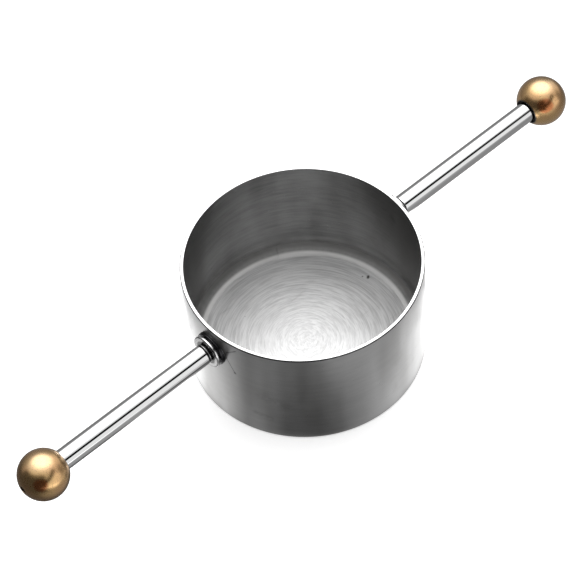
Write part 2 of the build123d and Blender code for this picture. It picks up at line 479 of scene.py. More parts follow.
floorFinish = {
    "steel": (0.80, 0.80, 0.80, 1.0),
    "steelDark": (0.56, 0.56, 0.56, 1.0),
    "dull": (0.42, 0.41, 0.40, 1.0),
    "pit": (0.06, 0.055, 0.05, 1.0),
    "roughness": 0.40,
    "ringCentre": (-0.69, -0.55, 0.0),      # millimetres; the tool's centre is a little off the cup's
    "pits": (
        ((21.40, 2.80, 1.0), (21.70, 3.05, 1.0), 0.50, 1.0),
        ((20.70, 3.90, 1.0), (20.75, 3.90, 1.0), 0.28, 0.8),
        ((-6.20, 14.10, 1.0), (-6.20, 14.15, 1.0), 0.20, 0.5),
        ((9.00, -12.40, 1.0), (9.05, -12.40, 1.0), 0.22, 0.5),
    ),
}


def makeFloorFinish():
    material, tree, shader, place = newFinish("turnedFloor", 1.0, 0.3, 0.65)
    aimGrain(tree, shader)
    centre = tuple(millimetre * part for part in floorFinish["ringCentre"])
    shifted = vectorCalc(tree, "SUBTRACT", place, centre)
    wide = useGroup(tree, turnedGrain, Position=shifted, Fineness=700.0, Breaks=1.5, Seed=8.0)["Streaks"]
    coarse = useGroup(tree, turnedGrain, Position=shifted, Fineness=1900.0, Breaks=2.6, Seed=3.0)["Streaks"]
    fine = useGroup(tree, turnedGrain, Position=shifted, Fineness=5500.0, Breaks=3.6, Seed=11.0)["Streaks"]
    dull = useGroup(tree, smudges, Position=place, PatchSize=110.0, Coverage=0.3)["Mask"]
    stray = useGroup(tree, hairlines, Position=place, Amount=0.4)["Mask"]
    grain = calc(tree, "MULTIPLY_ADD", coarse, 0.4, calc(tree, "MULTIPLY", fine, 0.48))
    grain = calc(tree, "MULTIPLY_ADD", wide, 0.12, grain)
    color = blendColor(tree, ramp(tree, grain, 0.38, 0.61), floorFinish["steelDark"], floorFinish["steel"])
    color = blendColor(tree, calc(tree, "MULTIPLY", dull, 0.2), color, floorFinish["dull"])
    pit = marks(tree, place, floorFinish["pits"])
    color = blendColor(tree, pit, color, floorFinish["pit"])
    rough = calc(tree, "MULTIPLY_ADD", grain, 0.2, floorFinish["roughness"] - 0.1)
    rough = calc(tree, "MULTIPLY_ADD", dull, 0.06, rough)
    feed(tree, shader.inputs["Roughness"], rough)
    feed(tree, shader.inputs["Base Color"], color)
    relief = calc(tree, "SUBTRACT", grain, calc(tree, "ADD", stray, pit))
    bump(tree, shader, relief, 0.8, 0.00005)
    return material


solderFinish = {
    "dark": (0.17, 0.169, 0.167, 1.0),
    "light": (0.23, 0.229, 0.226, 1.0),
    "top": (0.50, 0.497, 0.49, 1.0),        # where it has wetted the wall
    "topHeight": 1.7 * millimetre,
    "rubbed": (0.70, 0.697, 0.69, 1.0),     # along its foot, polished by the tool
    "rubbedEnds": (2.75 * millimetre, 2.05 * millimetre),   # in from the cup's outside
    "rubbedShare": 0.75,
}


def makeSolderFinish():
    material, tree, shader, place = newFinish("dressedSolder", 1.0, 0.3)
    fine = useGroup(tree, turnedGrain, Position=place, Fineness=5000.0, Breaks=12.0, Seed=5.0)["Streaks"]
    lumps = noise(tree, place, 900.0, 3.0, 0.6)
    flat = vectorCalc(tree, "LENGTH", vectorCalc(tree, "MULTIPLY", place, (1.0, 1.0, 0.0)))
    full, gone = (cupRadius - inset for inset in solderFinish["rubbedEnds"])
    rubbed = calc(tree, "MULTIPLY", ramp(tree, flat, full, gone, 1.0, 0.0), solderFinish["rubbedShare"])
    color = blendColor(tree, ramp(tree, lumps, 0.3, 0.7), solderFinish["dark"], solderFinish["light"])
    top = ramp(tree, split(tree, place)[2], baseHigh.z, baseHigh.z + solderFinish["topHeight"])
    color = blendColor(tree, top, color, solderFinish["top"])
    color = blendColor(tree, rubbed, color, solderFinish["rubbed"])
    feed(tree, shader.inputs["Base Color"], color)
    feed(tree, shader.inputs["Roughness"], calc(tree, "MULTIPLY_ADD", lumps, 0.2, 0.42))
    bump(tree, shader, calc(tree, "MULTIPLY_ADD", fine, 0.4, lumps), 0.25, 0.00004)
    return material


mirrorFinish = {
    "steel": (0.88, 0.88, 0.88, 1.0),
    "dull": (0.70, 0.70, 0.69, 1.0),
    "roughness": 0.045,
}


def makeMirrorFinish():
    material, tree, shader, place = newFinish("mirrorSteel", 1.0, 0.05)
    x, y, z = split(tree, place)
    along = joined(tree, y, calc(tree, "SUBTRACT", z, handleHeight), x)
    polish = useGroup(tree, turnedGrain, Position=along, Fineness=2500.0, Breaks=2.0)["Streaks"]
    dull = useGroup(tree, smudges, Position=place, PatchSize=260.0, Coverage=0.25)["Mask"]
    stray = useGroup(tree, hairlines, Position=place, Turn=(0.1, 0.25, 0.15), Amount=0.35)["Mask"]
    worn = useGroup(tree, edgeWear, Position=place, Radius=0.00010, Breakup=0.5)["Mask"]
    color = blendColor(tree, calc(tree, "MULTIPLY", dull, 0.35), mirrorFinish["steel"], mirrorFinish["dull"])
    feed(tree, shader.inputs["Base Color"], color)
    rough = calc(tree, "MULTIPLY_ADD", dull, 0.05, mirrorFinish["roughness"])
    rough = calc(tree, "MULTIPLY_ADD", stray, 0.12, rough)
    rough = calc(tree, "MULTIPLY_ADD", worn, 0.08, rough)
    feed(tree, shader.inputs["Roughness"], rough)
    bump(tree, shader, calc(tree, "MULTIPLY_ADD", polish, 0.3, stray), 0.06, 0.00002)
    return material


bronzeFinish = {
    "bronze": (0.83, 0.52, 0.21, 1.0),
    "copper": (0.85, 0.49, 0.21, 1.0),
    # painted dark reflection: dark red-brown on the side toward the viewer
    "brown": (0.60, 0.19, 0.04, 1.0),
    "brownSide": (0.0, 34.0),               # bearing and height above the floor, in degrees
    "brownEnds": (0.93, 0.975),             # cosines of the angle from that side, none and full
    "pale": (0.83, 0.62, 0.39, 1.0),        # painted highlight: paler on top, where the light from overhead is reflected
    "paleEnds": (0.78, 1.0),                # the same, from straight up
    "paleShare": 0.5,
    "tarnish": (0.12, 0.07, 0.035, 1.0),
    "grime": (0.05, 0.045, 0.035, 1.0),     # painted shade: dark round the mouth the rod goes into
    "grimeEnds": (2.95 * millimetre, 3.35 * millimetre),
    "worn": (0.80, 0.60, 0.38, 1.0),
    "roughness": 0.25,
    "lacquerRoughness": 0.22,
    "lacquerIor": 1.6,
}


def makeBronzeFinish():
    material, tree, shader, place = newFinish("antiqueBronze", 1.0, 0.3)
    shader.inputs["Coat Weight"].default_value = 1.0
    shader.inputs["Coat Roughness"].default_value = bronzeFinish["lacquerRoughness"]
    shader.inputs["Coat IOR"].default_value = bronzeFinish["lacquerIor"]
    pores = useGroup(tree, specks, Position=place, Fineness=4600.0, Share=0.45)["Mask"]
    dull = useGroup(tree, smudges, Position=place, PatchSize=180.0, Coverage=0.45)["Mask"]
    worn = useGroup(tree, edgeWear, Position=place, Radius=0.00018, Breakup=0.6)["Mask"]
    cloud = noise(tree, place, 220.0, 3.0, 0.6)
    color = blendColor(tree, ramp(tree, cloud, 0.35, 0.65), bronzeFinish["bronze"], bronzeFinish["copper"])
    x, y, z = split(tree, place)
    along = calc(tree, "SUBTRACT", calc(tree, "ABSOLUTE", x), (ballLow.x + ballHigh.x) / 2)
    sideways = calc(tree, "MULTIPLY", along, calc(tree, "SIGN", x))
    fromCentre = joined(tree, sideways, y, calc(tree, "SUBTRACT", z, handleHeight))
    outward = vectorCalc(tree, "NORMALIZE", fromCentre)
    wander = calc(tree, "SUBTRACT", cloud, 0.5)
    # Painted dark reflection: dark red-brown on the side toward the viewer.
    bearing, height = (math.radians(part) for part in bronzeFinish["brownSide"])
    level = rightward * math.sin(bearing) - backward * math.cos(bearing)
    toward = level * math.cos(height) + upward * math.sin(height)
    lean = vectorCalc(tree, "DOT_PRODUCT", outward, tuple(toward))
    lean = calc(tree, "MULTIPLY_ADD", wander, 0.10, lean)
    brown = ramp(tree, lean, *bronzeFinish["brownEnds"])
    color = blendColor(tree, brown, color, bronzeFinish["brown"])
    # Painted highlight: paler toward the top.
    upwardness = calc(tree, "MULTIPLY_ADD", wander, 0.12, split(tree, outward)[2])
    pale = ramp(tree, upwardness, *bronzeFinish["paleEnds"])
    pale = calc(tree, "MULTIPLY", pale, bronzeFinish["paleShare"])
    color = blendColor(tree, pale, color, bronzeFinish["pale"])
    # Painted shade round the mouth of the recess the rod goes into.
    radius = fromHandleAxis(tree, y, z)[1]
    mouth = ramp(tree, radius, *bronzeFinish["grimeEnds"], 1.0, 0.0)
    mouth = calc(tree, "MULTIPLY", mouth, calc(tree, "LESS_THAN", along, 0.0))
    color = blendColor(tree, calc(tree, "MULTIPLY", dull, 0.25), color, bronzeFinish["tarnish"])
    color = blendColor(tree, calc(tree, "MULTIPLY", pores, 0.5), color, bronzeFinish["tarnish"])
    color = blendColor(tree, calc(tree, "MULTIPLY", worn, 0.35), color, bronzeFinish["worn"])
    color = blendColor(tree, mouth, color, bronzeFinish["grime"])
    feed(tree, shader.inputs["Base Color"], color)
    rough = calc(tree, "MULTIPLY_ADD", dull, 0.08, bronzeFinish["roughness"])
    rough = calc(tree, "MULTIPLY_ADD", pores, 0.12, rough)
    feed(tree, shader.inputs["Roughness"], rough)
    bump(tree, shader, calc(tree, "SUBTRACT", calc(tree, "MULTIPLY", cloud, 0.3), pores), 0.25, 0.00003)
    return material


collarFinish = {
    "edge": (0.88, 0.88, 0.88, 1.0),
    "face": (0.26, 0.26, 0.26, 1.0),
    "grime": (0.035, 0.035, 0.035, 1.0),
    "grimeReach": 3.05 * millimetre,        # painted shade: reach from the handle's axis, in the corner beside the rod
    "lineFrom": 3.66 * millimetre,          # painted dark reflection: a dark line where the face meets the rounded edge
    "lineTo": 3.90 * millimetre,
    "lineSoftness": 0.05 * millimetre,
}


def makeCollarFinish():
    material, tree, shader, place = newFinish("collarSteel", 1.0, 0.12)
    x, y, z = split(tree, place)
    spoke, radius = fromHandleAxis(tree, y, z)
    out = calc(tree, "ABSOLUTE", x)
    face = ramp(tree, out, collarHigh.x - 0.10 * millimetre, collarHigh.x - 0.03 * millimetre)
    cloud = noise(tree, place, 900.0, 3.0, 0.6)
    rings = noise(tree, spoke, 2600.0, 2.0, 0.6)
    brushed = ramp(tree, rings, 0.35, 0.65, 0.0, 0.25)
    tone = blendColor(tree, brushed, collarFinish["face"], collarFinish["edge"])
    color = blendColor(tree, face, collarFinish["edge"], tone)
    # Painted dark reflection: a dark ring where the face meets the rounded edge.
    lineFrom, lineTo, soft = collarFinish["lineFrom"], collarFinish["lineTo"], collarFinish["lineSoftness"]
    line = ramp(tree, radius, lineFrom, lineFrom + soft)
    line = calc(tree, "MULTIPLY", line, ramp(tree, radius, lineTo - soft, lineTo, 1.0, 0.0))
    shoulder = ramp(tree, out, collarHigh.x - 0.20 * millimetre, collarHigh.x - 0.12 * millimetre)
    line = calc(tree, "MULTIPLY", line, shoulder)
    # Painted shade in the corner beside the rod.
    reach = collarFinish["grimeReach"]
    corner = ramp(tree, radius, reach - 0.35 * millimetre, reach, 1.0, 0.0)
    grime = calc(tree, "MULTIPLY", corner, ramp(tree, cloud, 0.25, 0.5, 0.7, 1.0))
    grime = calc(tree, "MAXIMUM", line, grime)
    color = blendColor(tree, grime, color, collarFinish["grime"])
    feed(tree, shader.inputs["Base Color"], color)
    rough = calc(tree, "MULTIPLY_ADD", face, 0.16, 0.08)
    feed(tree, shader.inputs["Roughness"], calc(tree, "MULTIPLY_ADD", cloud, 0.06, rough))
    bump(tree, shader, calc(tree, "ADD", rings, cloud), 0.08, 0.00002)
    return material


# Dark steel, and the painted shade of recesses: its colour, the metal that shows where its edges rub, and its
# roughness.
darkFinishes = {
    # near-black steel for the wall stud
    "heatDarkenedSteel": ((0.05, 0.05, 0.052, 1.0), (0.6, 0.6, 0.6, 1.0), 0.2),
    "darkGroove": ((0.03, 0.03, 0.03, 1.0), (0.35, 0.35, 0.35, 1.0), 0.35),
    "springSteel": ((0.12, 0.12, 0.13, 1.0), (0.45, 0.45, 0.45, 1.0), 0.35),
    "blackScrew": ((0.07, 0.065, 0.06, 1.0), (0.3, 0.28, 0.26, 1.0), 0.4),
}


def makeDarkFinish(name):
    color, edge, roughness = darkFinishes[name]
    material, tree, shader, place = newFinish(name, 1.0, roughness)
    worn = useGroup(tree, edgeWear, Position=place, Radius=0.00012, Breakup=0.7)["Mask"]
    dull = useGroup(tree, smudges, Position=place, PatchSize=600.0, Coverage=0.5)["Mask"]
    grit = noise(tree, place, 6000.0, 2.0, 0.6)
    tone = blendColor(tree, dull, color, tuple(0.6 * part for part in color[:3]) + (1.0,))
    tone = blendColor(tree, worn, tone, edge)
    feed(tree, shader.inputs["Base Color"], tone)
    feed(tree, shader.inputs["Roughness"], calc(tree, "MULTIPLY_ADD", grit, 0.2, roughness - 0.1))
    bump(tree, shader, grit, 0.3, 0.00002)
    return material


brushedWall = makeWallFinish()
turnedFloor = makeFloorFinish()
dressedSolder = makeSolderFinish()
mirrorSteel = makeMirrorFinish()
antiqueBronze = makeBronzeFinish()
collarSteel = makeCollarFinish()
darkStud = makeDarkFinish("heatDarkenedSteel")
darkGroove = makeDarkFinish("darkGroove")
springSteel = makeDarkFinish("springSteel")
blackScrew = makeDarkFinish("blackScrew")

finishes = {
    "cup_wall": brushedWall,
    "cup_base": turnedFloor,
    "floor_seam": dressedSolder,
    "wall_stud": darkStud,
    "lock_washer": springSteel,
    "collar": collarSteel,
    "handle_rod": mirrorSteel,
    "ball_end": antiqueBronze,
    "ball_screw": blackScrew,
}
for name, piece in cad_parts.items():
    kind = name.replace("left_", "").replace("right_", "")
    piece.data.materials.clear()
    piece.data.materials.append(finishes[kind])
print("finishes built")


# Pieces turned on a lathe.
def cornerCurves(corners, incoming, outgoing, sizes, steps=8):
    # Each corner of an outline becomes a short curve (1-t)^2 start + 2t(1-t) corner + t^2 end, whose
    # start and end lie the corner's size away along its two sides. Gives the points and the way the
    # curve runs at each of them.
    t = np.linspace(0.0, 1.0, steps)[None, :, None]
    reach = np.asarray(sizes, float)[:, None, None]
    corner = corners[:, None, :]
    start = corner - incoming[:, None, :] * reach
    end = corner + outgoing[:, None, :] * reach
    points = (1 - t) ** 2 * start + 2 * t * (1 - t) * corner + t**2 * end
    runs = (1 - t) * incoming[:, None, :] + t * outgoing[:, None, :]
    return points, runs / np.linalg.norm(runs, axis=2, keepdims=True)


def sidesOf(corners):
    # The unit direction of every side, from each corner to the next.
    sides = np.roll(corners, -1, axis=0) - corners
    return sides / np.linalg.norm(sides, axis=1, keepdims=True)


def closedOutline(corners, sizes):
    corners = np.asarray(corners, float)
    sides = sidesOf(corners)
    points, runs = cornerCurves(corners, np.roll(sides, 1, axis=0), sides, sizes)
    return points.reshape(-1, 2), runs.reshape(-1, 2)


def poleOutline(corners, sizes):
    # An outline that starts and ends on the axis; only the corners between are rounded.
    corners = np.asarray(corners, float)
    sides = sidesOf(corners)[:-1]
    points, runs = cornerCurves(corners[1:-1], sides[:-1], sides[1:], sizes)
    points = np.vstack((corners[:1], points.reshape(-1, 2), corners[-1:]))
    runs = np.vstack((sides[:1], runs.reshape(-1, 2), sides[-1:]))
    return points, runs


def spun(rings, spread):
    # Carries each (along, radius) row round the axis: (along, radius cos a, radius sin a).
    along = np.broadcast_to(rings[:, :1], (len(rings), spread.shape[1]))
    return np.stack((along, rings[:, 1:] * spread[0], rings[:, 1:] * spread[1]), axis=2).reshape(-1, 3)


def gridQuads(rows, columns, strips):
    # Four corners for each cell of a grid of points. Every row closes on itself, and so do the columns
    # when there are as many strips as rows.
    row, column = np.meshgrid(np.arange(strips), np.arange(columns), indexing="ij")
    here, ahead = row * columns, (row + 1) % rows * columns
    nextColumn = (column + 1) % columns
    corners = (here + column, ahead + column, ahead + nextColumn, here + nextColumn)
    return np.stack(corners, axis=2).reshape(-1, 4)


def turnedPiece(name, outline, poles, place, segments, finishList, edgeRule=None):
    # The outline (distance along the axis, radius) is carried round the axis and place() lays the axis
    # down. The normals lean with the outline. With poles, the outline's two ends lie on the axis.
    points, runs = outline
    ahead = np.roll(points, -1, axis=0)
    area = np.sum(points[:, 0] * ahead[:, 1] - ahead[:, 0] * points[:, 1])
    outward = np.column_stack((runs[:, 1], -runs[:, 0])) * (1.0 if area > 0 else -1.0)
    rings = slice(1, -1) if poles else slice(None)
    angles = np.linspace(0.0, 2 * np.pi, segments, endpoint=False)
    spread = np.stack((np.cos(angles), np.sin(angles)))
    ringPoints = points[rings]
    vertices, normals = spun(ringPoints, spread), spun(outward[rings], spread)
    count = len(ringPoints)
    strips = count - 1 if poles else count
    quads = gridQuads(count, segments, strips)
    strip = np.arange(strips)
    middles = (ringPoints[strip] + ringPoints[(strip + 1) % count]) / 2
    kinds = np.repeat(edgeRule(middles) if edgeRule else np.zeros(strips, int), segments)
    faces = quads.tolist()
    if poles:
        total = len(vertices)
        ends = np.array([[points[0, 0], 0.0, 0.0], [points[-1, 0], 0.0, 0.0]])
        endNormals = np.array([[outward[0, 0], 0.0, 0.0], [outward[-1, 0], 0.0, 0.0]])
        vertices, normals = np.vstack((vertices, ends)), np.vstack((normals, endNormals))
        around = np.arange(segments)
        following = (around + 1) % segments
        base = (count - 1) * segments
        faces += np.column_stack((np.full(segments, total), around, following)).tolist()
        faces += np.column_stack((base + around, np.full(segments, total + 1), base + following)).tolist()
        kinds = np.concatenate((kinds, np.zeros(2 * segments, int)))
    vertices, normals = place(vertices), place(normals, True)
    probe = quads[len(quads) // 2]
    facing = np.cross(vertices[probe[1]] - vertices[probe[0]], vertices[probe[2]] - vertices[probe[0]])
    if np.dot(facing, normals[probe[0]]) < 0:
        faces = [face[::-1] for face in faces]
    return meshPiece(name, vertices, faces, finishList, normals, kinds)


def meshPiece(name, vertices, faces, finishList, normals=None, kinds=None):
    mesh = bpy.data.meshes.new(name)
    mesh.from_pydata(vertices.tolist(), [], faces)
    for finish in finishList:
        mesh.materials.append(finish)
    mesh.polygons.foreach_set("use_smooth", np.ones(len(mesh.polygons), bool))
    if kinds is not None:
        mesh.polygons.foreach_set("material_index", kinds.astype(np.int32))
    mesh.update()
    if normals is not None:
        mesh.normals_split_custom_set_from_vertices(normals.tolist())
    piece = bpy.data.objects.new(name, mesh)
    bpy.context.scene.collection.objects.link(piece)
    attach(piece, "root")
    return piece


def onCupAxis(points, directions=False):
    return points[:, [1, 2, 0]]


def onHandleAxis(side):
    def place(points, directions=False):
        raised = points * np.array([side, 1.0, 1.0])
        return raised if directions else raised + np.array([0.0, 0.0, handleHeight])
    return place


# Cup.
cup = {
    "wall": 0.8 * millimetre,
    "rimOuter": 0.26 * millimetre,      # how far the rim's rounding reaches along each side
    "rimInner": 0.14 * millimetre,
    "footRounding": 0.9 * millimetre,
    "brushedEdge": 0.85 * millimetre,
    "segments": 320,
}
boreRadius = cupRadius - cup["wall"]
sharp = 0.02 * millimetre


def edgeRule(middles):
    # The floor's edge is seen from outside and is brushed like the wall.
    return (middles[:, 1] > cupRadius - cup["brushedEdge"]).astype(int)


def makeCup():
    bottom = wallLow.z
    tube = closedOutline(
        [(bottom, cupRadius), (rimHeight, cupRadius), (rimHeight, boreRadius), (bottom, boreRadius)],
        [sharp, cup["rimOuter"], cup["rimInner"], sharp],
    )
    shell = turnedPiece("cupShell", tube, False, onCupAxis, cup["segments"], [brushedWall])
    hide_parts("cup_wall")
    disc = poleOutline(
        [(baseHigh.z, 0.0), (baseHigh.z, cupRadius), (0.0, cupRadius), (0.0, 0.0)],
        [sharp, cup["footRounding"]],
    )
    metals = [turnedFloor, brushedWall]
    plate = turnedPiece("cupFloor", disc, True, onCupAxis, cup["segments"], metals, edgeRule)
    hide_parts("cup_base")


bead = {
    "width": 2.60 * millimetre,
    "height": 1.80 * millimetre,
    "hollow": 0.52,             # 0 is a straight bevel between toe and top, 1 a square corner
    "waver": 0.06 * millimetre,
    "lapRise": 0.22 * millimetre,
    "lapWidth": 0.18 * millimetre,
    "lapStart": 38.5,           # degrees about Z
    "lapEnd": 64.0,
    "lapClimb": 14.0,           # degrees over which the lap thickens
    "lapDrop": 0.8,
    "lumps": 0.006 * millimetre,
    "steps": 900,
    "across": 14,
    "seed": 7,
}


def waver(angles, lowest, highest, draws):
    # A closed ripple: cosines that fit whole times round the cup, weaker the finer they are, with
    # drawn phases.
    orders = np.arange(lowest, highest + 1)
    phases = draws.uniform(0, 2 * np.pi, len(orders))
    weights = draws.normal(0, 1, len(orders)) / orders**0.7
    ripple = np.cos(angles[:, None] * orders + phases) @ weights
    return ripple / np.abs(ripple).max()


def makeBead():
    # At each angle the face runs from the toe on the floor to the top on the wall along
    # (1-s)^2 toe + 2s(1-s) middle + s^2 top, where the middle is pulled toward the corner. Width and
    # height ripple round the cup and step up where the run laps over its own start.
    draws = np.random.default_rng(bead["seed"])
    angles = np.linspace(0, 2 * np.pi, bead["steps"], endpoint=False)
    turn = np.degrees(angles)
    climb = np.clip((turn - bead["lapStart"]) / bead["lapClimb"], 0, 1)
    drop = np.clip((bead["lapEnd"] - turn) / bead["lapDrop"], 0, 1)
    lap = climb * climb * (3 - 2 * climb) * drop
    width = bead["width"] + bead["waver"] * waver(angles, 3, 40, draws) + bead["lapWidth"] * lap
    height = bead["height"] + bead["waver"] * waver(angles, 3, 36, draws) + bead["lapRise"] * lap
    s = np.linspace(0, 1, bead["across"])[None, :]
    fullness = 0.5 * (1 - bead["hollow"])
    inward = ((1 - s) ** 2 + 2 * s * (1 - s) * fullness) * width[:, None]
    upright = (s**2 + 2 * s * (1 - s) * fullness) * height[:, None]
    lumps = np.sin(np.pi * s) * (bead["lumps"] * waver(angles, 30, 160, draws))[:, None]
    radius = boreRadius - inward - lumps
    level = baseHigh.z + upright + lumps
    radius = np.hstack((radius, np.full((len(angles), 1), boreRadius)))
    level = np.hstack((level, np.full((len(angles), 1), baseHigh.z)))
    spread = np.cos(angles)[:, None], np.sin(angles)[:, None]
    vertices = np.stack((radius * spread[0], radius * spread[1], level), axis=2)
    rows, columns = radius.shape
    faces = gridQuads(rows, columns, rows)
    piece = meshPiece("solderBead", vertices.reshape(-1, 3), faces.tolist(), [dressedSolder])
    if signedVolume(piece.data) < 0:
        piece.data.flip_normals()
    piece.data.set_sharp_from_angle(angle=math.radians(50))
    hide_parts("floor_seam")


def signedVolume(mesh):
    mesh.calc_loop_triangles()
    corners = np.empty(len(mesh.vertices) * 3)
    mesh.vertices.foreach_get("co", corners)
    triangles = np.empty(len(mesh.loop_triangles) * 3, np.int32)
    mesh.loop_triangles.foreach_get("vertices", triangles)
    a, b, c = np.moveaxis(corners.reshape(-1, 3)[triangles.reshape(-1, 3)], 1, 0)
    return np.einsum("ij,ij->i", a, np.cross(b, c)).sum() / 6


makeCup()
makeBead()
print("cup made")


# Handles.
rod = {
    "neck": 0.40 * millimetre,
    "land": 0.18 * millimetre,
    "groove": 0.40 * millimetre,
    "grooveDepth": 0.30 * millimetre,
    "tappedRadius": 1.52 * millimetre,
    "tappedDepth": 5.55 * millimetre,
    "spigotRadius": 1.5 * millimetre,
    "softEdge": 0.05 * millimetre,
    "segments": 144,
}
ball = {
    "recessGap": 0.52 * millimetre,
    "recessDepth": 0.55 * millimetre,
    "seatDistance": 2.5 * millimetre,   # from the centre back to the rod's shoulder
    "seatGap": 0.05 * millimetre,
    "boreGap": 0.02 * millimetre,
    "mouthEdge": 0.12 * millimetre,
    "boreEdge": 0.04 * millimetre,
    "darkBelow": 0.12 * millimetre,     # inside the ball's surface, from where its bore has painted shade
    "poleEdge": 0.07 * millimetre,
    "screwHole": 0.82 * millimetre,
    "segments": 192,
    "arcSteps": 110,
}
rodRadius = (rodHigh.z - rodLow.z) / 2
ballRadius = (ballHigh.z - ballLow.z) / 2
ballCentre = ballHigh.x - math.sqrt(ballRadius**2 - ball["screwHole"] ** 2)
rodStart, spigotEnd = rodLow.x, rodHigh.x
rodShoulder = ballCentre - ball["seatDistance"]


def rodOutline():
    neckRadius = rodRadius - rod["grooveDepth"]
    holeEnd = rodStart + rod["tappedDepth"]
    neckEnd = rodStart + rod["neck"]
    grooveStart = neckEnd + rod["land"]
    grooveEnd = grooveStart + rod["groove"]
    corners = [
        (holeEnd, 0.0),
        (holeEnd, rod["tappedRadius"]),
        (rodStart, rod["tappedRadius"]),
        (rodStart, neckRadius),
        (neckEnd, neckRadius),
        (neckEnd, rodRadius),
        (grooveStart, rodRadius),
        (grooveStart, neckRadius),
        (grooveEnd, neckRadius),
        (grooveEnd, rodRadius),
        (rodShoulder, rodRadius),
        (rodShoulder, rod["spigotRadius"]),
        (spigotEnd, rod["spigotRadius"]),
        (spigotEnd, 0.0),
    ]
    soft = rod["softEdge"]
    sizes = [soft, soft, soft, soft, soft, soft, soft, soft, 2.4 * soft, soft, soft, soft]
    return poleOutline(corners, sizes)


def ballOutline():
    recess = rodRadius + ball["recessGap"]
    seat = rodRadius + ball["seatGap"]
    spigotHole = rod["spigotRadius"] + ball["boreGap"]
    hole = ball["screwHole"]
    holeAngle = math.asin(hole / ballRadius)
    mouthAngle = math.pi - math.asin(recess / ballRadius)
    mouth = ballCentre + ballRadius * math.cos(mouthAngle)
    recessFloor = mouth + ball["recessDepth"]
    corners = np.array(
        [
            (ballCentre + ballRadius * math.cos(holeAngle), hole),
            (mouth, recess),
            (recessFloor, recess),
            (recessFloor, seat),
            (rodShoulder, seat),
            (rodShoulder, spigotHole),
            (spigotEnd, spigotHole),
            (spigotEnd, hole),
        ]
    )
    outgoing = sidesOf(corners)
    incoming = np.roll(outgoing, 1, axis=0)
    outgoing[0] = (-math.sin(holeAngle), math.cos(holeAngle))
    incoming[1] = (-math.sin(mouthAngle), math.cos(mouthAngle))
    sizes = [ball["poleEdge"], ball["mouthEdge"]] + [ball["boreEdge"]] * 6
    points, runs = cornerCurves(corners, incoming, outgoing, sizes)
    clear = 1.3 / ballRadius    # the arc keeps this clear of the two rounded edges
    arcStart, arcEnd = holeAngle + clear * ball["poleEdge"], mouthAngle - clear * ball["mouthEdge"]
    angles = np.linspace(arcStart, arcEnd, ball["arcSteps"])
    arc = np.column_stack((ballCentre + ballRadius * np.cos(angles), ballRadius * np.sin(angles)))
    arcRuns = np.column_stack((-np.sin(angles), np.cos(angles)))
    points = np.vstack((points[0], arc, points[1:].reshape(-1, 2)))
    runs = np.vstack((runs[0], arcRuns, runs[1:].reshape(-1, 2)))
    return points, runs


def grooveRule(middles):
    # Painted shade: the neck and the groove are dark.
    grooveEnd = rodStart + rod["neck"] + rod["land"] + rod["groove"] + 0.02 * millimetre
    below = middles[:, 1] < rodRadius - 0.04 * millimetre
    return ((middles[:, 0] < grooveEnd) & below).astype(int)


def boreRule(middles):
    # Painted shade: everything inside the ball's own surface is dark.
    depth = ballRadius - np.hypot(middles[:, 0] - ballCentre, middles[:, 1])
    return (depth > ball["darkBelow"]).astype(int)


def makeHandles():
    for sideName, side in (("left", -1.0), ("right", 1.0)):
        place = onHandleAxis(side)
        metals = [mirrorSteel, darkGroove]
        shaft = turnedPiece(sideName + "Rod", rodOutline(), True, place, rod["segments"], metals, grooveRule)
        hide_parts(sideName + "_handle_rod")
        metals = [antiqueBronze, darkGroove]
        knob = turnedPiece(sideName + "Ball", ballOutline(), False, place, ball["segments"], metals, boreRule)
        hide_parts(sideName + "_ball_end")


makeHandles()
print("handles made")


# Studio.
studio = {
    "floor": (0.90, 0.90, 0.90, 1.0),
    "floorLift": 0.60,      # light added to the floor, so that shadows on it stay faint
    "backdrop": (0.95, 0.95, 0.95, 1.0),
    "mainHeight": 62.0,     # degrees above the floor, behind the cup
    "main": 2.3,            # strength at the middle of the main light
    "mainEdge": 0.75,
    "mainFade": (22.0, 52.0),       # degrees from its middle
    "tent": 0.45,
    "tentFade": (52.0, 85.0),
}

# Darker and lighter parts of the tent: how far up they reach, and the bearings over which each one
# starts and ends, in degrees. A bearing is 0 toward the viewer and positive to the right.
panels = {
    "right": {"strength": 0.88, "top": (27.0, 33.0), "start": (8.0, 20.0), "end": (80.0, 90.0)},
    "rightGap": {"strength": 0.22, "top": (16.0, 34.0), "start": (82.0, 92.0), "end": (105.0, 125.0)},
    "back": {"strength": 0.24, "top": (9.0, 42.0), "leftOf": (-120.0, -100.0), "rightOf": (145.0, 165.0)},
    "opening": {"strength": 0.05, "top": (46.0, 60.0), "start": (-118.0, -90.0), "end": (8.0, 22.0)},
}
openingSlope = {"from": -20.0, "perDegree": 0.32}   # the opening's top sinks to the left of this bearing
darkSeam = {
    "start": (0.0, 10.0),
    "end": (75.0, 95.0),
    "height": 31.0,         # up to the bearing in climbFrom, after which it climbs
    "climbFrom": 39.0,
    "climbOver": 24.0,
    "climb": 0.4,
    "halfWidth": (6.0, 11.0),
}


def grey(level):
    return (level, level, level, 1.0)


